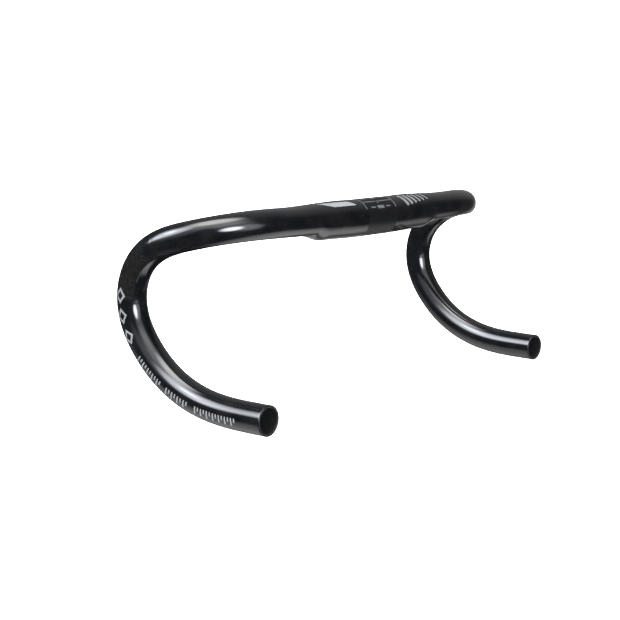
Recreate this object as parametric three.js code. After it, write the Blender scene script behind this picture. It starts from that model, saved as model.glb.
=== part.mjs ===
// Drop handlebar for a road bicycle: a bonded, hollow carbon bar.
//
// Frame: millimetres, +X to the rider's right, +Y forwards, +Z up, with the origin at the middle
// of the stem clamp. A place on the bar is given by s, the distance along its centreline from the
// clamp (negative on the left), and by an angle round the section: 90 degrees is the outside of
// the bend (the top of the flat part), 180 is the rider's side and 270 is the inside of the bend.

import * as THREE from 'three';

// ---- Driving dimensions -------------------------------------------------------------------

const CLAMP_RADIUS = 15.85;
const GRIP_RADIUS = 11.9;
const WALL = 2;
const GAP = 0.3;
const HALF_LENGTH = 449;

// Each bend of the right half turns the centreline by these angles over its own length.
// Heading turns it forwards and pitch turns it up.
const BENDS = [
  { start: 16, length: 24, heading: 0, pitch: 1.6 },
  { start: 95.5, length: 157.5, heading: 88, pitch: -22.3 },
  { start: 192.5, length: 118, heading: 0, pitch: -86.7 },
  { start: 241.5, length: 194, heading: 0, pitch: -73.4 },
];

// The flat part is wider than it is high. The section leaves the round clamp over three
// stretches of its own and becomes the round grip over a fourth.
const FLAT = {
  halfDepth: { value: 15.4, from: 48, to: 94 },
  topHeight: { value: 12.5, from: 36, to: 112 },
  bottomHeight: { value: 12.4, from: 67, to: 81 },
  squareness: { value: 2.2, from: 48, to: 94 },
};
const ROUND_OFF = { from: 127, to: 209 };
const ROUND_POWER = 2;

// The cable groove runs along the underside of the flat part and the inside of the bend.
const GROOVE = {
  angle: 256, floorHalfAngle: 19, lipHalfAngle: 26, depth: 3.8,
  start: 78, end: 264, fadeIn: 12, fadeOut: 26,
};

// Where the pieces lie along the bar. The lever bands cover the bonded joints.
const JOINT_AT = 230;
const JOINT_SLEEVE = { reach: 18, wall: 1.5 };
const CLAMP_SLEEVE = { halfLength: 30, wall: 1.5 };
const CLAMP_BAND = { from: -19, to: 19, thickness: 0.5 };
const LEVER_BAND = { from: 216, to: 276, thickness: 0.5 };
const SHOULDER = 0.2;

// Printed marks are thin films on the outside of the bar.
const FILM_THICKNESS = 0.2;
const FILMS = {
  centre_scale_film: { from: -22, to: 22, angles: [92, 156], colour: 0xb9bcc0 },
  left_flash_film: { from: -76, to: -27, angles: [98, 134], colour: 0xe6e8ea },
  right_mark_film: { from: 28, to: 72, angles: [98, 154], colour: 0xd5d8da },
  left_drop_film: { from: -430, to: -258, angles: [142, 200], colour: 0xa9acb0 },
  right_drop_film: { from: 258, to: 430, angles: [142, 200], colour: 0xa9acb0 },
};

// Facets.
const SIDES = 20;
const SIDE_CROWDING = 0.5;
const STEP = 10;
const CLOSEST = 3;
const STEEP = { from: FLAT.bottomHeight.from, to: FLAT.bottomHeight.to, step: 3.5 };
const FILM_STEP = 11;
const FILM_ANGLE_STEP = 10;
const PATH_STEP = 0.5;

// ---- Materials ----------------------------------------------------------------------------

const glossCarbon = { color: 0x0b0c0e, roughness: 0.18, metalness: 0 };
const rawCarbon = { color: 0x1c1d20, roughness: 0.7, metalness: 0 };
const matteGrip = { color: 0x1f2022, roughness: 0.75, metalness: 0 };
const clampGrip = { color: 0x17181b, roughness: 0.6, metalness: 0 };

// ---- The bar's centreline and section -----------------------------------------------------

const radians = THREE.MathUtils.degToRad;

// Goes smoothly from 0 at `from` to 1 at `to`.
const ease = (s, from, to) => THREE.MathUtils.smoothstep(s, from, to);

function direction(s) {
  let heading = 0;
  let pitch = 0;
  for (const bend of BENDS) {
    const done = ease(s, bend.start, bend.start + bend.length);
    heading += radians(bend.heading) * done;
    pitch += radians(bend.pitch) * done;
  }
  return { heading, pitch };
}

function tangent({ heading, pitch }) {
  return new THREE.Vector3(
    Math.cos(heading) * Math.cos(pitch),
    Math.sin(heading) * Math.cos(pitch),
    Math.sin(pitch),
  );
}

// Centreline points of the right half, found by walking along it in small steps.
const PATH = [new THREE.Vector3()];
for (let s = PATH_STEP / 2; s < HALF_LENGTH; s += PATH_STEP) {
  const last = PATH[PATH.length - 1];
  PATH.push(last.clone().addScaledVector(tangent(direction(s)), PATH_STEP));
}

function centre(s) {
  const at = s / PATH_STEP;
  const before = Math.min(Math.floor(at), PATH.length - 2);
  return PATH[before].clone().lerp(PATH[before + 1], at - before);
}

// A size that starts at the clamp's, takes the flat part's value and ends at the grip's.
function blended(s, clamp, { value, from, to }, grip) {
  const onFlat = THREE.MathUtils.lerp(clamp, value, ease(s, from, to));
  return THREE.MathUtils.lerp(onFlat, grip, ease(s, ROUND_OFF.from, ROUND_OFF.to));
}

// The groove has a flat floor, so it narrows where it runs out at its ends.
function grooveDepth(s, angle) {
  const along = ease(s, GROOVE.start, GROOVE.start + GROOVE.fadeIn)
    * (1 - ease(s, GROOVE.end - GROOVE.fadeOut, GROOVE.end));
  const turn = Math.min(Math.abs(angle - GROOVE.angle), GROOVE.lipHalfAngle);
  const floor = (GRIP_RADIUS - GROOVE.depth * along) / Math.cos(radians(turn));
  const inside = 1 - ease(turn, GROOVE.floorHalfAngle, GROOVE.lipHalfAngle);
  return Math.max(GRIP_RADIUS - floor, 0) * inside;
}

// A point of the bar's surface, or of the surface `inset` below it.
function barPoint(s, angle, inset) {
  const along = Math.abs(s);
  const halfDepth = blended(along, CLAMP_RADIUS, FLAT.halfDepth, GRIP_RADIUS) - inset;
  const side = Math.sin(radians(angle)) >= 0 ? FLAT.topHeight : FLAT.bottomHeight;
  const height = blended(along, CLAMP_RADIUS, side, GRIP_RADIUS) - inset;
  const power = 2 / blended(along, ROUND_POWER, FLAT.squareness, ROUND_POWER);
  const cosine = Math.cos(radians(angle));
  const sine = Math.sin(radians(angle));
  const across = halfDepth * Math.sign(cosine) * Math.abs(cosine) ** power;
  const up = height * Math.sign(sine) * Math.abs(sine) ** power;
  const sunk = 1 - grooveDepth(along, angle) / Math.hypot(across, up);

  const { heading, pitch } = direction(along);
  const acrossAxis = new THREE.Vector3(-Math.sin(heading), Math.cos(heading), 0);
  const upAxis = new THREE.Vector3().crossVectors(tangent({ heading, pitch }), acrossAxis);
  const point = centre(along)
    .addScaledVector(acrossAxis, across * sunk)
    .addScaledVector(upAxis, up * sunk);
  if (s < 0) point.x = -point.x;
  return point;
}

// ---- Solids -------------------------------------------------------------------------------

// Angles round the whole section, crowded together at the groove.
const ROUND = Array.from({ length: SIDES }, (_, side) => {
  const turn = side / SIDES;
  const crowded = turn - (SIDE_CROWDING / (2 * Math.PI)) * Math.sin(2 * Math.PI * turn);
  return GROOVE.angle - 360 * (1 - crowded);
}).map((angle) => (angle < GROOVE.angle - 180 ? angle + 360 : angle));

// The outsides of the tubes sink in two places, where bands lie.
const RECESSES = [CLAMP_BAND, LEVER_BAND].map(({ from, to, thickness }) => ({
  from: from - GAP, to: to + GAP, depth: thickness + GAP,
}));

// Places along the right half where rings of vertices go: at every edge and joint, closer
// together where the section steps down, and evenly in between. Nested tubes share them, so
// the gaps between their facets stay even.
function ringPlaces() {
  const edges = RECESSES.flatMap(({ from, to }) => [from - SHOULDER, from, to, to + SHOULDER]);
  const places = [0, HALF_LENGTH, JOINT_AT, JOINT_AT + GAP, ...edges.filter((s) => s > 0)];
  const between = [];
  for (let s = STEEP.from; s <= STEEP.to; s += STEEP.step) between.push(s);
  for (let s = 0; s <= HALF_LENGTH; s += STEP) between.push(s);
  for (const place of between) {
    if (places.every((other) => Math.abs(other - place) > CLOSEST)) places.push(place);
  }
  return places.flatMap((s) => (s > 0 ? [s, -s] : [s]));
}
const RING_PLACES = ringPlaces();

// The places of a piece that runs from one end to the other.
function stations(from, to) {
  const inner = RING_PLACES.filter((s) => s > from + SHOULDER / 2 && s < to - SHOULDER / 2);
  return [from, ...inner, to].sort((a, b) => a - b);
}

function even(from, to, step) {
  const count = Math.ceil((to - from) / step);
  return Array.from({ length: count + 1 }, (_, index) => from + (index * (to - from)) / count);
}

// A closed solid between two depths below the bar's surface, round the whole section or
// over a patch of it. `outside` gives the outer depth at a place, `inside` the inner one.
function shell(places, angles, outside, inside, wraps) {
  const rows = places.length;
  const columns = angles.length;
  const positions = [];
  for (const depth of [outside, inside]) {
    for (const s of places) {
      for (const angle of angles) positions.push(...barPoint(s, angle, depth(s)).toArray());
    }
  }

  const corner = (layer, row, column) => (layer * rows + row) * columns + (column % columns);
  const faces = [];
  // A flat-cornered patch between four vertices, each given as [layer, row, column].
  const quad = (...corners) => {
    const [a, b, c, d] = corners.map((place) => corner(...place));
    faces.push(a, b, c, a, c, d);
  };
  const spans = wraps ? columns : columns - 1;
  const last = rows - 1;
  for (let column = 0; column < spans; column += 1) {
    const next = column + 1;
    for (let row = 0; row < last; row += 1) {
      quad([0, row, column], [0, row, next], [0, row + 1, next], [0, row + 1, column]);
      quad([1, row, column], [1, row + 1, column], [1, row + 1, next], [1, row, next]);
    }
    quad([0, 0, column], [1, 0, column], [1, 0, next], [0, 0, next]);
    quad([0, last, column], [0, last, next], [1, last, next], [1, last, column]);
  }
  if (!wraps) {
    for (let row = 0; row < last; row += 1) {
      quad([0, row, 0], [0, row + 1, 0], [1, row + 1, 0], [1, row, 0]);
      quad([0, row, spans], [1, row, spans], [1, row + 1, spans], [0, row + 1, spans]);
    }
  }

  const geometry = new THREE.BufferGeometry();
  geometry.setAttribute('position', new THREE.Float32BufferAttribute(positions, 3));
  geometry.setIndex(faces);
  geometry.computeVertexNormals();
  return geometry;
}

const handlebar = new THREE.Group();
handlebar.name = 'drop_handlebar';

function add(name, geometry, look) {
  const mesh = new THREE.Mesh(geometry, new THREE.MeshStandardMaterial(look));
  mesh.name = name;
  handlebar.add(mesh);
}

function recessDepth(s) {
  const edge = SHOULDER / 2;
  const recess = RECESSES.find(({ from, to }) => Math.abs(s) > from - edge && Math.abs(s) < to + edge);
  return recess ? recess.depth : 0;
}

// A length of the bar's own wall, with its recesses.
function tube(from, to) {
  return shell(stations(from, to), ROUND, recessDepth, () => WALL, true);
}

// A ring of even thickness, with its outside at `depth` below the bar's surface.
function ring(from, to, depth, thickness) {
  return shell(stations(from, to), ROUND, () => depth, () => depth + thickness, true);
}

// ---- Pieces -------------------------------------------------------------------------------

function makeCentre() {
  const { halfLength, wall } = CLAMP_SLEEVE;
  add('centre_section', tube(-JOINT_AT, JOINT_AT), glossCarbon);
  add('clamp_sleeve', ring(-halfLength, halfLength, WALL + GAP, wall), rawCarbon);
  add('clamp_grip_band', ring(CLAMP_BAND.from, CLAMP_BAND.to, 0, CLAMP_BAND.thickness), clampGrip);
}

// The bar's left side is its right side with s counted the other way.
function makeSide(side, sign) {
  const reach = JOINT_SLEEVE.reach;
  const piece = (name, from, to, solid, look) => {
    const ends = [sign * from, sign * to].sort((a, b) => a - b);
    add(`${side}_${name}`, solid(...ends), look);
  };
  const sleeve = (from, to) => ring(from, to, WALL + GAP, JOINT_SLEEVE.wall);
  const grip = (from, to) => ring(from, to, 0, LEVER_BAND.thickness);
  piece('hook', JOINT_AT + GAP, HALF_LENGTH, tube, glossCarbon);
  piece('joint_sleeve', JOINT_AT - reach, JOINT_AT + reach, sleeve, rawCarbon);
  piece('lever_grip_band', LEVER_BAND.from, LEVER_BAND.to, grip, matteGrip);
}

function makeFilms() {
  for (const [name, film] of Object.entries(FILMS)) {
    const places = even(film.from, film.to, FILM_STEP);
    const angles = even(...film.angles, FILM_ANGLE_STEP);
    const geometry = shell(places, angles, () => -GAP - FILM_THICKNESS, () => -GAP, false);
    add(name, geometry, { color: film.colour, roughness: 0.4, metalness: 0 });
  }
}

makeCentre();
makeSide('left', -1);
makeSide('right', 1);
makeFilms();

export default handlebar;
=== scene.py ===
"""Looks of the drop handlebar: fine skins for the carbon tubes, grip bands and printed marks.

Lengths along the bar and section sizes are in millimetres here, as in the design, and every
point is turned into metres as it is made. A place on the bar is s, the distance along its
centreline from the clamp (negative on the left), and an angle round the section: 90 degrees is
the outside of the bend, 180 the rider's side, 270 the inside of the bend.
"""
import math

import bpy
import numpy as np
from mathutils import Euler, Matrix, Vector


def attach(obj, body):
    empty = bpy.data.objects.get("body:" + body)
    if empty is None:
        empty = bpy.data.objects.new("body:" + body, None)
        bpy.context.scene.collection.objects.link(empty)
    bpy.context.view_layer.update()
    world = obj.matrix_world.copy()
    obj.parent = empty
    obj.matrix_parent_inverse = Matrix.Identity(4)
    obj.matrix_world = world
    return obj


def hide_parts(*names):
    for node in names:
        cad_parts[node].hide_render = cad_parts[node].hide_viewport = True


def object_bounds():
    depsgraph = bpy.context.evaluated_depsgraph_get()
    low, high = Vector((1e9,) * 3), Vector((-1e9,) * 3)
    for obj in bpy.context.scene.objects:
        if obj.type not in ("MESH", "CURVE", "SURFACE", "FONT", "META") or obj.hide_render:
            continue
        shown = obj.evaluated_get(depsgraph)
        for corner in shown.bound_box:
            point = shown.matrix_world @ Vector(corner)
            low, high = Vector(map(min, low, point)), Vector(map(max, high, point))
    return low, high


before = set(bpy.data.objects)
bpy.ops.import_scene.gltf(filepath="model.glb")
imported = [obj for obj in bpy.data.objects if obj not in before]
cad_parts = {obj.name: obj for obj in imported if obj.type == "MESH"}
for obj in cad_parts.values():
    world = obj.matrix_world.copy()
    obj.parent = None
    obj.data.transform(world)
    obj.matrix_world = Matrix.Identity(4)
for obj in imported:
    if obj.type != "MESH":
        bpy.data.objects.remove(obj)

cad_low, cad_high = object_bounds()
MM = 0.001

# ---- The bar's design sizes, mm and degrees -------------------------------------------------

CLAMP_RADIUS = 15.85
GRIP_RADIUS = 11.9
WALL = 2.0
HALF_LENGTH = 449.0
JOINT_AT = 230.0
CLAMP_BAND = (-19.0, 19.0)
LEVER_BAND = (216.0, 276.0)
BAND_THICKNESS = 0.5
CLAMP_SLEEVE = (-30.0, 30.0)
JOINT_SLEEVE = (212.0, 248.0)
SLEEVE_WALL = 1.5

# Each bend: start, length, heading, pitch.
BENDS = (
    (16.0, 24.0, 0.0, 1.6),
    (95.5, 157.5, 88.0, -22.3),
    (192.5, 118.0, 0.0, -86.7),
    (241.5, 194.0, 0.0, -73.4),
)

# Flat part: size, and where the section takes it on after the clamp.
HALF_DEPTH = (15.4, 48.0, 94.0)
TOP_HEIGHT = (12.5, 36.0, 112.0)
BOTTOM_HEIGHT = (12.4, 67.0, 81.0)
SQUARENESS = (2.2, 48.0, 94.0)
ROUND_OFF = (127.0, 209.0)

GROOVE_ANGLE = 256.0
GROOVE_FLOOR, GROOVE_LIP = 19.0, 26.0
GROOVE_DEPTH = 3.8
GROOVE_START, GROOVE_END = (78.0, 90.0), (238.0, 264.0)

# ---- Centreline and section -----------------------------------------------------------------


def ease(s, start, end):
    """0 at start, 1 at end, smooth in between."""
    t = np.clip((s - start) / (end - start), 0.0, 1.0)
    return t * t * (3 - 2 * t)


def direction(s):
    heading = sum(math.radians(turn) * ease(s, start, start + length) for start, length, turn, _ in BENDS)
    pitch = sum(math.radians(turn) * ease(s, start, start + length) for start, length, _, turn in BENDS)
    return heading, pitch


def tangent(heading, pitch):
    return np.stack([np.cos(heading) * np.cos(pitch), np.sin(heading) * np.cos(pitch), np.sin(pitch)], -1)


PATH_STEP = 0.5
_middles = np.arange(PATH_STEP / 2, HALF_LENGTH, PATH_STEP)
PATH = np.concatenate([np.zeros((1, 3)), np.cumsum(tangent(*direction(_middles)) * PATH_STEP, 0)])
PATH_S = np.arange(len(PATH)) * PATH_STEP


def blended(s, clamp, flat, grip):
    value, start, end = flat
    size = clamp + (value - clamp) * ease(s, start, end)
    return size + (grip - size) * ease(s, *ROUND_OFF)


def groove(s, angle):
    """Depth of the cable groove, whose floor is flat."""
    along = ease(s, *GROOVE_START) * (1 - ease(s, *GROOVE_END))
    turn = np.minimum(np.abs((angle - GROOVE_ANGLE + 180) % 360 - 180), GROOVE_LIP)
    floor = (GRIP_RADIUS - GROOVE_DEPTH * along) / np.cos(np.radians(turn))
    return np.maximum(GRIP_RADIUS - floor, 0) * (1 - ease(turn, GROOVE_FLOOR, GROOVE_LIP))


def bar_points(s, angle, inset):
    """Points, in metres, `inset` below the bar's surface. The three arguments broadcast."""
    s, angle, inset = np.broadcast_arrays(*[np.asarray(x, float) for x in (s, angle, inset)])
    along = np.abs(s)
    cosine, sine = np.cos(np.radians(angle)), np.sin(np.radians(angle))
    depth = blended(along, CLAMP_RADIUS, HALF_DEPTH, GRIP_RADIUS) - inset
    top = blended(along, CLAMP_RADIUS, TOP_HEIGHT, GRIP_RADIUS) - inset
    bottom = blended(along, CLAMP_RADIUS, BOTTOM_HEIGHT, GRIP_RADIUS) - inset
    power = 2 / blended(along, 2.0, SQUARENESS, 2.0)
    across = depth * np.sign(cosine) * np.abs(cosine) ** power
    up = np.where(sine >= 0, top, bottom) * np.sign(sine) * np.abs(sine) ** power
    sunk = 1 - groove(along, angle) / np.hypot(across, up)
    heading, pitch = direction(along)
    across_axis = np.stack([-np.sin(heading), np.cos(heading), 0 * heading], -1)
    up_axis = np.cross(tangent(heading, pitch), across_axis)
    centre = np.stack([np.interp(along, PATH_S, PATH[:, axis]) for axis in range(3)], -1)
    points = centre + (across * sunk)[..., None] * across_axis + (up * sunk)[..., None] * up_axis
    points[..., 0] *= np.where(s < 0, -1, 1)
    return points * MM


# ---- Mesh making ----------------------------------------------------------------------------

FINE_STEP = 1.5
SIDES = 112
SIDE_CROWDING = 0.35
SHARP_ANGLE = 35.0
RIM_STEPS = 6
SEAT_GAP = 0.02
SEAM_RIM = 0.02
EDGE_CLEAR = 0.3
SEATS = (CLAMP_BAND, LEVER_BAND)


def make_object(name, points, faces):
    mesh = bpy.data.meshes.new(name)
    mesh.from_pydata([tuple(p) for p in points], [], faces)
    mesh.polygons.foreach_set("use_smooth", [True] * len(mesh.polygons))
    mesh.set_sharp_from_angle(angle=math.radians(SHARP_ANGLE))
    mesh.update()
    piece = bpy.data.objects.new(name, mesh)
    bpy.context.scene.collection.objects.link(piece)
    return piece


def loop_faces(rows, columns):
    """Quads of a closed grid of rings, each `columns` long, that joins its last row to its first."""
    faces = []
    for row in range(rows):
        here = row * columns
        below = (row + 1) % rows * columns
        for column in range(columns):
            right = (column + 1) % columns
            faces.append((here + column, here + right, below + right, below + column))
    return faces


def section_angles():
    """Angles round the whole section, closer together at the groove."""
    turn = np.arange(SIDES) / SIDES
    return GROOVE_ANGLE + 360 * (turn - SIDE_CROWDING / (2 * math.pi) * np.sin(2 * math.pi * turn))


def seat_depth(s):
    """How far the tubes' outside sinks for the bands that lie in it."""
    along = np.abs(s)
    inside = [(along > low - SEAT_GAP / 2) & (along < high + SEAT_GAP / 2) for low, high in SEATS]
    return np.where(np.any(inside, 0), BAND_THICKNESS + SEAT_GAP, 0.0)


def places_along(start, end, rims):
    """Places from start to end, closer together at the seats' edges and over the rounded rims,
    and how far the surface draws in at each. `rims` are the radii of the two rims."""
    edges = [sign * edge for low, high in SEATS for edge in (low - SEAT_GAP, low, high, high + SEAT_GAP)
             for sign in (-1, 1)]
    edges = np.array([edge for edge in edges if start + rims[0] < edge < end - rims[1]])
    middle = np.linspace(start, end, math.ceil((end - start) / FINE_STEP) + 1)
    middle = middle[(middle > start + rims[0] + EDGE_CLEAR) & (middle < end - rims[1] - EDGE_CLEAR)]
    if len(edges):
        middle = middle[np.abs(middle[:, None] - edges).min(1) > EDGE_CLEAR]
        middle = np.sort(np.concatenate([middle, edges]))
    turn = np.radians(np.linspace(0, 90, RIM_STEPS))
    first, last = rims[0] * (1 - np.cos(turn)), rims[1] * (1 - np.cos(turn[::-1]))
    places = np.concatenate([start + first, middle, end - last])
    drawn = [rims[0] * (1 - np.sin(turn)), 0 * middle, rims[1] * (1 - np.sin(turn[::-1]))]
    return places, np.concatenate(drawn)


def wall(name, start, end, depth, thickness, rims=(SEAM_RIM, SEAM_RIM), seats=False):
    """A length of tube with rounded rims, its outside at `depth` below the bar's surface. Its
    faces run along the outside, over the end rim, back along the bore and over the start rim."""
    places, drawn = places_along(start, end, rims)
    sunk = seat_depth(places) if seats else 0 * places
    angles = section_angles()
    outside = bar_points(places[:, None], angles, (depth + sunk + drawn)[:, None])
    inside = bar_points(places[::-1, None], angles, (depth + thickness - drawn[::-1])[:, None])
    rings = np.concatenate([outside, inside])
    return make_object(name, rings.reshape(-1, 3), loop_faces(len(rings), SIDES))


# ---- Materials ------------------------------------------------------------------------------


class Nodes:
    """Short names for building one material's nodes."""

    def __init__(self, name):
        self.material = bpy.data.materials.new(name)
        self.material.use_nodes = True
        self.tree = self.material.node_tree
        self.shader = self.tree.nodes["Principled BSDF"]

    def add(self, kind, inputs=None, **settings):
        node = self.tree.nodes.new(kind)
        for key, value in settings.items():
            setattr(node, key, value)
        for key, value in (inputs or {}).items():
            if isinstance(value, bpy.types.NodeSocket):
                self.tree.links.new(value, node.inputs[key])
            else:
                node.inputs[key].default_value = value
        return node

    def set(self, **values):
        for key, value in values.items():
            socket = self.shader.inputs[key.replace("_", " ")]
            if isinstance(value, bpy.types.NodeSocket):
                self.tree.links.new(value, socket)
            else:
                socket.default_value = value

    def place(self):
        return self.add("ShaderNodeTexCoord").outputs["Object"]

    def noise(self, scale, detail=2.0, roughness=0.5):
        inputs = {"Vector": self.place(), "Scale": scale, "Detail": detail, "Roughness": roughness}
        return self.add("ShaderNodeTexNoise", inputs).outputs["Fac"]

    def ramp(self, value, *stops):
        node = self.add("ShaderNodeValToRGB", {"Fac": value})
        ramp = node.color_ramp
        while len(ramp.elements) < len(stops):
            ramp.elements.new(0.5)
        for element, (position, colour) in zip(ramp.elements, stops):
            element.position = position
            element.color = (*colour, 1.0)
        return node.outputs["Color"]

    def calculate(self, operation, *values):
        node = self.add("ShaderNodeMath", dict(enumerate(values)), operation=operation)
        return node.outputs["Value"]

    def bump(self, height, strength, distance, normal=None):
        inputs = {"Height": height, "Strength": strength, "Distance": distance}
        if normal:
            inputs["Normal"] = normal
        return self.add("ShaderNodeBump", inputs).outputs["Normal"]


def grey(value, tint=(1.0, 1.0, 1.0)):
    return tuple(value * channel for channel in tint)


def mix(nodes, factor, first, second):
    node = nodes.add("ShaderNodeMix", data_type="RGBA")
    for socket, value in ((0, factor), (6, first), (7, second)):
        nodes.tree.links.new(value, node.inputs[socket])
    return node.outputs[2]


# Scales of the materials' patterns, per metre.
PATCH_SCALE, FIBRE_SCALE = 70.0, 600.0
SPECK_SCALE, GRIT_SCALE = 1100.0, 1300.0
WEAVE_SCALE, GRAIN_SCALE = 500.0, 3000.0
INK_SCALE = 700.0

FIBRE_SHARE = 0.12
GLOSS_ROUGHNESS, MATTE_ROUGHNESS = 0.45, 0.6
CARBON_SPECULAR = 0.05
COAT_ROUGHNESS, COAT_IOR = 0.08, 1.5

# Bump strength, and height in metres.
CARBON_RELIEF = (0.08, 0.0001)
SPECK_RELIEF = (0.6, 0.00025)
GRIT_RELIEF = (0.5, 0.00015)
WEAVE_RELIEF = (0.3, 0.0001)
INK_RELIEF = (0.05, 0.00005)

# How far the specks eat into the edge of the matte zones, and where gloss turns to matte.
RAGGEDNESS = 0.8
MATTE_EDGE = (0.25, 0.75)
INK_TINT = (0.97, 0.99, 1.0)


def carbon_clouds(nodes):
    """Nearly black carbon: short cloudy patches of fibre, lightly streaked."""
    patches = nodes.noise(PATCH_SCALE, 3.0, 0.5)
    fibres = nodes.noise(FIBRE_SCALE, 2.0, 0.6)
    shares = {0: FIBRE_SHARE, 2: patches, 3: fibres}
    both = nodes.add("ShaderNodeMix", shares, data_type="FLOAT").outputs[0]
    dark = (0.0006, 0.0008, 0.0013)
    middle = (0.0012, 0.0015, 0.0022)
    light = (0.0027, 0.0027, 0.0029)
    return both, nodes.ramp(both, (0.38, dark), (0.5, middle), (0.62, light))


def gloss_carbon():
    """Nearly black fibre clouds under a deep clear coat."""
    nodes = Nodes("gloss_carbon")
    height, colour = carbon_clouds(nodes)
    nodes.set(Base_Color=colour, Roughness=GLOSS_ROUGHNESS, Specular_IOR_Level=CARBON_SPECULAR)
    nodes.set(Coat_Weight=1.0, Coat_Roughness=COAT_ROUGHNESS, Coat_IOR=COAT_IOR)
    nodes.set(Normal=nodes.bump(height, *CARBON_RELIEF))
    return nodes.material


def lever_grip():
    """Matte peel-ply surface with fine pale specks, where the `matte` attribute is 1. Where it
    is 0, at the zone's ends and on the inside of the bend, the gloss carbon runs on."""
    nodes = Nodes("lever_grip")
    matte = nodes.add("ShaderNodeAttribute", attribute_name="matte").outputs["Fac"]
    specks = nodes.noise(SPECK_SCALE, 3.0, 0.75)
    uneven = nodes.calculate("SUBTRACT", specks, 0.5)
    ragged = nodes.calculate("MULTIPLY_ADD", uneven, RAGGEDNESS, matte)
    edge = {"Value": ragged, "From Min": MATTE_EDGE[0], "From Max": MATTE_EDGE[1]}
    cover = nodes.add("ShaderNodeMapRange", edge, interpolation_type="SMOOTHSTEP").outputs["Result"]
    pale = grey(0.013, (1.0, 1.0, 0.96))
    cloth = nodes.ramp(specks, (0.33, grey(0.0006)), (0.5, grey(0.003)), (0.66, pale))
    height, gloss = carbon_clouds(nodes)
    rough = {"Value": cover, "To Min": GLOSS_ROUGHNESS, "To Max": MATTE_ROUGHNESS}
    nodes.set(Base_Color=mix(nodes, cover, gloss, cloth), Specular_IOR_Level=CARBON_SPECULAR)
    nodes.set(Roughness=nodes.add("ShaderNodeMapRange", rough).outputs["Result"])
    nodes.set(Coat_Weight=nodes.calculate("SUBTRACT", 1.0, cover))
    nodes.set(Coat_Roughness=COAT_ROUGHNESS, Coat_IOR=COAT_IOR)
    relief = nodes.calculate("MULTIPLY", specks, cover)
    under = nodes.bump(height, *CARBON_RELIEF)
    nodes.set(Normal=nodes.bump(relief, *SPECK_RELIEF, under))
    return nodes.material


def clamp_grip():
    """Fine gritty coat, a little darker and smoother than the lever zones."""
    nodes = Nodes("clamp_grip")
    grit = nodes.noise(GRIT_SCALE, 3.0, 0.7)
    dark, light = (0.0006, 0.0007, 0.0009), (0.0052, 0.0052, 0.0056)
    colour = nodes.ramp(grit, (0.35, dark), (0.65, light))
    nodes.set(Base_Color=colour, Roughness=0.38, Specular_IOR_Level=0.22)
    nodes.set(Normal=nodes.bump(grit, *GRIT_RELIEF))
    return nodes.material


def raw_carbon():
    """Uncoated woven cloth: a fine check with a fibre grain."""
    nodes = Nodes("raw_carbon")
    check = {"Vector": nodes.place(), "Scale": WEAVE_SCALE}
    weave = nodes.add("ShaderNodeTexChecker", check).outputs["Fac"]
    grain = nodes.noise(GRAIN_SCALE, 2.0)
    colour = nodes.ramp(weave, (0.2, grey(0.005)), (0.8, grey(0.009)))
    nodes.set(Base_Color=colour, Roughness=0.5)
    nodes.set(Normal=nodes.bump(grain, *WEAVE_RELIEF, nodes.bump(weave, *WEAVE_RELIEF)))
    return nodes.material


def print_ink(name, shade, wear):
    """Screen-printed ink under clear coat, slightly uneven in strength."""
    nodes = Nodes(name)
    patchy = nodes.noise(INK_SCALE, 3.0, 0.6)
    worn, full = grey(shade * (1 - wear), INK_TINT), grey(shade, INK_TINT)
    colour = nodes.ramp(patchy, (0.3, worn), (0.6, full))
    nodes.set(Base_Color=colour, Roughness=0.45)
    nodes.set(Coat_Weight=0.6, Coat_Roughness=0.1)
    nodes.set(Normal=nodes.bump(patchy, *INK_RELIEF))
    return nodes.material


GLOSS = gloss_carbon()
RAW = raw_carbon()
LEVER = lever_grip()
CLAMP = clamp_grip()
SCALE_INK = print_ink("scale_ink", 0.085, 0.45)
FLASH_INK = print_ink("flash_ink", 0.21, 0.06)
MARK_INK = print_ink("mark_ink", 0.13, 0.12)
DROP_INK = print_ink("drop_ink", 0.13, 0.2)


def finish_piece(piece, material, slot, *nodes):
    piece.data.materials.append(material)
    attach(piece, "root")
    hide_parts(*nodes)


# ---- Tubes, sleeves and bands ---------------------------------------------------------------

END_RIM = 0.4
HIDDEN_RIMS = (0.2, 0.2)
BAND_RIMS = (0.01, 0.01)
BOND = 0.05
MATTE_FADE = ((216.0, 236.0), (264.0, 277.0))
MATTE_MIDDLE, MATTE_REACH = 142.0, (84.0, 94.0)


def mirrored(span, sign):
    return tuple(sorted(sign * end for end in span))


def make_centre():
    body = wall("centre_skin", -JOINT_AT, JOINT_AT, 0.0, WALL, seats=True)
    finish_piece(body, GLOSS, "gloss_carbon", "centre_section")
    band = wall("clamp_band_skin", *CLAMP_BAND, 0.0, BAND_THICKNESS, BAND_RIMS)
    finish_piece(band, CLAMP, "clamp_grip", "clamp_grip_band")
    sleeve = wall("clamp_sleeve_skin", *CLAMP_SLEEVE, WALL + BOND, SLEEVE_WALL, HIDDEN_RIMS)
    finish_piece(sleeve, RAW, "raw_carbon", "clamp_sleeve")


def make_hook(side, sign):
    """The bore and the end face are raw. The outside and its rounded edge have the clear coat."""
    span = mirrored((JOINT_AT + SEAT_GAP, HALF_LENGTH), sign)
    rims = (SEAM_RIM, END_RIM)[::sign]
    hook = wall(f"{side}_hook_skin", *span, 0.0, WALL, rims, seats=True)
    finish_piece(hook, GLOSS, "gloss_carbon", f"{side}_hook")
    hook.data.materials.append(RAW)
    faces = len(hook.data.polygons)
    raw = np.ones(faces, int)
    raw[:faces // 2 - SIDES] = 0
    hook.data.polygons.foreach_set("material_index", raw)


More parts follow.
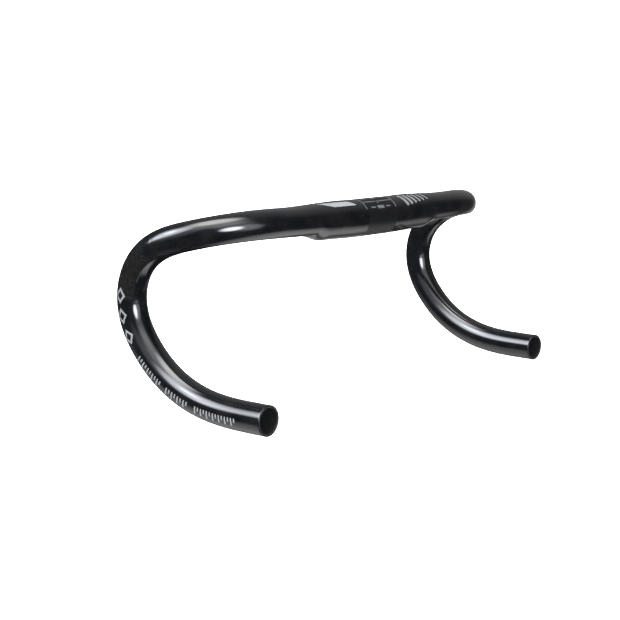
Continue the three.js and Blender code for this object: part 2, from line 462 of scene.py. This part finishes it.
def make_lever_band(side, sign):
    span = mirrored(LEVER_BAND, sign)
    band = wall(f"{side}_lever_band_skin", *span, 0.0, BAND_THICKNESS, BAND_RIMS)
    places, _ = places_along(*span, BAND_RIMS)
    places = np.abs(np.concatenate([places, places[::-1]]))
    turn = np.abs((section_angles() - MATTE_MIDDLE + 180) % 360 - 180)
    along = ease(places, *MATTE_FADE[0]) * (1 - ease(places, *MATTE_FADE[1]))
    matte = along[:, None] * (1 - ease(turn, *MATTE_REACH))
    band.data.attributes.new("matte", "FLOAT", "POINT").data.foreach_set("value", matte.ravel())
    finish_piece(band, LEVER, "lever_grip", f"{side}_lever_grip_band")


def make_joint_sleeve(side, sign):
    span = mirrored(JOINT_SLEEVE, sign)
    sleeve = wall(f"{side}_joint_sleeve_skin", *span, WALL + BOND, SLEEVE_WALL, HIDDEN_RIMS)
    finish_piece(sleeve, RAW, "raw_carbon", f"{side}_joint_sleeve")


def make_side(side, sign):
    make_hook(side, sign)
    make_lever_band(side, sign)
    make_joint_sleeve(side, sign)


make_centre()
make_side("left", -1)
make_side("right", 1)

# ---- Printed marks --------------------------------------------------------------------------

INK_TOP, INK_UNDER = -0.06, -0.005
INK_STEP = 0.8
INK_ANGLE_STEP = 3.0
INK_RADIUS = 12.5
MM_PER_DEGREE = math.radians(1) * INK_RADIUS
# Rough mm for each degree, used only to space the points along an edge.
SPACING_PER_DEGREE = 0.2
ARC_POINTS, DASH_POINTS = 24, 6

# Centring scale: arcs at its edges (s, start angle, end angle, width), pairs of dashes
# (angle, near end, far end, width) and blocks on the middle (angle, half-length, width).
SCALE_ARC = (19.8, 93, 149, 0.9)
SCALE_DASHES = ((101, 7.5, 15.5, 0.7), (121, 2.5, 18.0, 0.7), (143.5, 7.0, 13.0, 0.9))
SCALE_BLOCKS = ((101, 3.5, 1.6), (124, 0.6, 2.2), (144, 4.2, 2.3))

# Outline of the pale panel, as its upper and lower edges.
FLASH_UPPER = ((-73, 101), (-60, 107), (-48, 108.5), (-37, 110))
FLASH_LOWER = ((-72.5, 102.5), (-65.5, 120), (-58.5, 130), (-44, 131), (-29.5, 129))

# Leaning bars: each is thinner and spans fewer degrees than the one before it.
BARS = 6
BAR_START, BAR_SPACING, BAR_LEAN = 34.5, 6.2, 4
BAR_TOP, BAR_BOTTOM = (105, 1), (150, -3)
BAR_WIDTH = (3.6, 0.4)

# Drop marks: diamonds (half-length, half-turn, line width), then groups of ticks (start, end,
# count) that start from the angle TICK_FOOT.
DIAMONDS_AT, DIAMOND_ANGLE = (268.5, 284.5, 301.5), 175
DIAMOND_SIZE = (6.4, 24, 1.7)
TICK_GROUPS = ((320, 347, 10), (355, 377, 8), (386, 425, 14))
TICK_FOOT, TICK_WIDTH = 182, 1.3
LONG_TICK, SHORT_TICK = 15, 8


def resample(line, count):
    """A line of (s, angle) points as `count` evenly spaced ones."""
    steps = np.diff(line, axis=0) * (1.0, SPACING_PER_DEGREE)
    lengths = np.concatenate([[0], np.cumsum(np.hypot(*steps.T))])
    at = np.linspace(0, lengths[-1], count)
    return np.stack([np.interp(at, lengths, line[:, axis]) for axis in range(2)], -1)


def points_over(change):
    """How many points a stretch needs that covers this much s and angle."""
    steps = max(change[0] / INK_STEP, change[1] / INK_ANGLE_STEP)
    return int(max(2, math.ceil(steps) + 1))


def ribbon(edge_a, edge_b):
    """One inked patch between two lines of (s, angle) points, as rows of places."""
    edges = [np.array(edge, float) for edge in (edge_a, edge_b)]
    count = max(points_over(np.abs(np.diff(edge, axis=0)).sum(0)) for edge in edges)
    a, b = [resample(edge, count) for edge in edges]
    across = points_over(np.abs(a - b).max(0))
    t = np.linspace(0, 1, across)[None, :, None]
    return a[:, None] * (1 - t) + b[:, None] * t


def stroke(points, width):
    """A ribbon of even width, mm, along a line of (s, angle) points."""
    scale = np.array([1.0, MM_PER_DEGREE])
    flat = np.array(points, float) * scale
    flow = np.gradient(flat, axis=0)
    flow /= np.linalg.norm(flow, axis=1, keepdims=True)
    side = np.stack([-flow[:, 1], flow[:, 0]], -1) * width / 2
    return ribbon((flat + side) / scale, (flat - side) / scale)


def lozenge(s, angle, half_length, half_turn, width):
    """A diamond outline that closes on itself."""
    corners = np.array([(1, 0), (0, 1), (-1, 0), (0, -1), (1, 0)], float)
    per_side = math.ceil(half_length / INK_STEP)
    at = np.arange(4 * per_side + 1) / per_side
    ring = np.stack([np.interp(at, range(5), corners[:, axis]) for axis in range(2)], -1)
    thinner = 1 - width * math.hypot(1 / half_length, 1 / (half_turn * MM_PER_DEGREE))
    middle = np.array([s, angle])
    reach = np.array([half_length, half_turn])
    return np.stack([middle + ring * reach * size for size in (1, (1 + thinner) / 2, thinner)], 1)


def turns_backwards(patch):
    """Whether a patch's rows and columns turn the wrong way for its faces to point out."""
    along, over = patch[1, 0] - patch[0, 0], patch[0, 1] - patch[0, 0]
    return (along[0] * over[1] - along[1] * over[0]) * (1 if patch[0, 0, 0] >= 0 else -1) < 0


def inked(name, patches, material, slot, node):
    """One piece of thin ink patches that follow the bar's surface."""
    points, faces = [], []
    for patch in patches:
        if turns_backwards(patch):
            patch = patch[:, ::-1]
        closes = np.allclose(patch[0], patch[-1])
        # The rows of an outline that closes on itself count round, so its last one goes.
        if closes:
            patch = patch[:-1]
        rows, columns = patch.shape[:2]
        first = sum(len(layer) for layer in points)
        for depth in (INK_TOP, INK_UNDER):
            points.append(bar_points(patch[..., 0], patch[..., 1], depth).reshape(-1, 3))

        def quad(*corners):
            faces.append([first + (layer * rows + row % rows) * columns + column
                          for layer, row, column in corners])

        last_row, last_column = rows - 1, columns - 1
        for row in range(rows if closes else last_row):
            below = row + 1
            for column in range(last_column):
                right = column + 1
                quad((0, row, column), (0, row, right), (0, below, right), (0, below, column))
                quad((1, row, column), (1, below, column), (1, below, right), (1, row, right))
            quad((0, row, 0), (0, below, 0), (1, below, 0), (1, row, 0))
            end = last_column
            quad((0, row, end), (1, row, end), (1, below, end), (0, below, end))
        for column in range(0 if closes else last_column):
            right, end = column + 1, last_row
            quad((0, 0, column), (1, 0, column), (1, 0, right), (0, 0, right))
            quad((0, end, column), (0, end, right), (1, end, right), (1, end, column))
    finish_piece(make_object(name, np.concatenate(points), faces), material, slot, node)


def arc(s, start, end):
    return [(s, angle) for angle in np.linspace(start, end, ARC_POINTS)]


def dash(start, end, angle):
    return [(s, angle) for s in np.linspace(start, end, DASH_POINTS)]


def scale_marks():
    """Two edge arcs, three rows of dashes and a block in the middle of each."""
    edge, start, end, width = SCALE_ARC
    patches = [stroke(arc(side * edge, start, end), width) for side in (-1, 1)]
    for angle, near, far, width in SCALE_DASHES:
        patches.append(stroke(dash(-far, -near, angle), width))
        patches.append(stroke(dash(near, far, angle), width))
    for angle, reach, width in SCALE_BLOCKS:
        patches.append(stroke(dash(-reach, reach, angle), width))
    return patches


def top_mark():
    """A row of leaning bars."""
    patches = []
    for index in range(BARS):
        s = BAR_START + BAR_SPACING * index
        top, bottom = BAR_TOP[0] + BAR_TOP[1] * index, BAR_BOTTOM[0] + BAR_BOTTOM[1] * index
        line = [(s + down * BAR_LEAN, top + down * (bottom - top)) for down in (0, 0.5, 1)]
        patches.append(stroke(line, BAR_WIDTH[0] - BAR_WIDTH[1] * index))
    return patches


def drop_marks(sign):
    """Three large diamonds, then graduations of long and short ticks down the drop."""
    patches = [lozenge(s, DIAMOND_ANGLE, *DIAMOND_SIZE) for s in DIAMONDS_AT]
    for start, end, count in TICK_GROUPS:
        for index, s in enumerate(np.linspace(start, end, count)):
            reach = SHORT_TICK if index % 2 else LONG_TICK
            line = [(s, TICK_FOOT - part * reach) for part in (2, 1, 0)]
            patches.append(stroke(line, TICK_WIDTH))
    return [patch * np.array([sign, 1]) for patch in patches]


inked("centre_scale_print", scale_marks(), SCALE_INK, "scale_print", "centre_scale_film")
flash = [ribbon(FLASH_UPPER, FLASH_LOWER)]
inked("left_flash_print", flash, FLASH_INK, "flash_print", "left_flash_film")
inked("right_mark_print", top_mark(), MARK_INK, "mark_print", "right_mark_film")
inked("left_drop_print", drop_marks(-1), DROP_INK, "drop_print", "left_drop_film")
inked("right_drop_print", drop_marks(1), DROP_INK, "drop_print", "right_drop_film")

# ---- Floor, light and camera ----------------------------------------------------------------

# The camera stands where the bar's outline fits the reference view best: place in metres,
# turns in degrees, lens and sensor in mm.
CAMERA_AT = Vector((-0.9064, -0.6990, 0.1196))
CAMERA_AZIMUTH, CAMERA_ELEVATION, CAMERA_ROLL = -49.93, 9.94, 0.71
LENS, SENSOR_WIDTH = 78.93, 36.0
NEAREST, FARTHEST = 0.01, 50.0


def make_camera():
    data = bpy.data.cameras.new("camera")
    data.sensor_width = SENSOR_WIDTH
    data.lens = LENS
    data.clip_start, data.clip_end = NEAREST, FARTHEST
    camera = bpy.data.objects.new("camera", data)
    bpy.context.scene.collection.objects.link(camera)
    camera.location = CAMERA_AT
    tilt, heading = math.radians(90 - CAMERA_ELEVATION), math.radians(CAMERA_AZIMUTH)
    turn = Euler((tilt, 0, heading), "XYZ").to_matrix()
    roll = Euler((0, 0, math.radians(CAMERA_ROLL)), "XYZ").to_matrix()
    camera.rotation_euler = (turn @ roll).to_euler()
    bpy.context.scene.camera = camera


BACKDROP_RADIANCE = 1.2
FLOOR_REACH, FLOOR_DROP = 12.0, 0.25
FLOOR_SHADE, FLOOR_ROUGHNESS, FLOOR_GLOW = 0.9, 0.9, 1.0

COOL, PLAIN = (0.94, 0.98, 1.06), (1.0, 1.0, 1.0)

# The studio's soft lights as seen from the bar: azimuth (from +Y towards +X), elevation and
# half-width in degrees, brightness and colour. They are placed for the reflections that the
# camera sees. Each fades out from EDGE_START to EDGE_END times its half-width. The room gives
# a little light from everywhere.
STUDIO_LIGHTS = {
    "overhead": (-80, 80, 16, 9.0, PLAIN),
    "overhead_edge": (-125, 65, 22, 2.4, PLAIN),
    "key": (-60, 40, 15, 12.5, COOL),
    "key_peak": (-59, 42, 5, 10.0, COOL),
    "key_low": (-50, 26, 7, 4.0, COOL),
    "key_edge": (-82, 35, 20, 1.0, COOL),
    "side": (-153, 11, 10, 25.0, COOL),
    "side_middle": (-172, 10, 14, 3.0, COOL),
    "side_edge": (-155, 40, 18, 1.6, COOL),
    "front_bounce": (-30, -50, 22, 1.1, PLAIN),
    "middle_bounce": (30, -40, 20, 0.4, PLAIN),
    "right_bounce": (122, -55, 20, 1.9, PLAIN),
    "backdrop": (60, -15, 18, 0.35, PLAIN),
    "fill": (70, 45, 30, 0.25, PLAIN),
}
ROOM = 0.08
EDGE_START, EDGE_END = 0.3, 1.7


def light_direction(azimuth, elevation):
    turn, rise = math.radians(azimuth), math.radians(elevation)
    return (math.sin(turn) * math.cos(rise), math.cos(turn) * math.cos(rise), math.sin(rise))


def make_floor():
    """A pale floor, seen only from above so that it doesn't hide the bar's underside."""
    reach, level = FLOOR_REACH, cad_low.z - FLOOR_DROP
    mesh = bpy.data.meshes.new("floor")
    corners = [(x * reach, y * reach, level) for x, y in ((-1, -1), (1, -1), (1, 1), (-1, 1))]
    mesh.from_pydata(corners, [], [(0, 1, 2, 3)])
    floor = bpy.data.objects.new("floor", mesh)
    bpy.context.scene.collection.objects.link(floor)
    nodes = Nodes("floor")
    nodes.set(Base_Color=(*grey(FLOOR_SHADE), 1.0), Roughness=FLOOR_ROUGHNESS)
    nodes.set(Emission_Color=(1.0, 1.0, 1.0, 1.0), Emission_Strength=FLOOR_GLOW)
    clear = nodes.add("ShaderNodeBsdfTransparent").outputs["BSDF"]
    below = nodes.add("ShaderNodeNewGeometry").outputs["Backfacing"]
    mixed = nodes.add("ShaderNodeMixShader", {0: below, 1: nodes.shader.outputs["BSDF"], 2: clear})
    nodes.tree.links.new(mixed.outputs["Shader"], nodes.tree.nodes["Material Output"].inputs["Surface"])
    mesh.materials.append(nodes.material)
    floor.visible_glossy = False


def make_studio():
    """White behind the bar, and round soft lights that fade out at their edges."""
    world = bpy.data.worlds.new("studio")
    bpy.context.scene.world = world
    world.use_nodes = True
    tree = world.node_tree
    toward = tree.nodes.new("ShaderNodeTexCoord").outputs["Generated"]
    light = None
    for azimuth, elevation, width, brightness, colour in STUDIO_LIGHTS.values():
        facing = tree.nodes.new("ShaderNodeVectorMath")
        facing.operation = "DOT_PRODUCT"
        facing.inputs[1].default_value = light_direction(azimuth, elevation)
        tree.links.new(toward, facing.inputs[0])
        fade = tree.nodes.new("ShaderNodeMapRange")
        fade.interpolation_type = "SMOOTHSTEP"
        fade.inputs["From Min"].default_value = math.cos(math.radians(width * EDGE_END))
        fade.inputs["From Max"].default_value = math.cos(math.radians(width * EDGE_START))
        tree.links.new(facing.outputs["Value"], fade.inputs["Value"])
        total = tree.nodes.new("ShaderNodeVectorMath")
        total.operation = "MULTIPLY_ADD"
        total.inputs[1].default_value = [brightness * channel for channel in colour]
        total.inputs[2].default_value = (ROOM, ROOM, ROOM)
        tree.links.new(fade.outputs["Result"], total.inputs[0])
        if light:
            tree.links.new(light, total.inputs[2])
        light = total.outputs["Vector"]

    seen = tree.nodes.new("ShaderNodeMix")
    seen.data_type = "RGBA"
    tree.links.new(tree.nodes.new("ShaderNodeLightPath").outputs["Is Camera Ray"], seen.inputs[0])
    tree.links.new(light, seen.inputs[6])
    seen.inputs[7].default_value = (BACKDROP_RADIANCE, BACKDROP_RADIANCE, BACKDROP_RADIANCE, 1.0)
    tree.links.new(seen.outputs[2], tree.nodes["Background"].inputs["Color"])
    bpy.context.scene.view_settings.view_transform = "Standard"


make_camera()
make_floor()
make_studio()
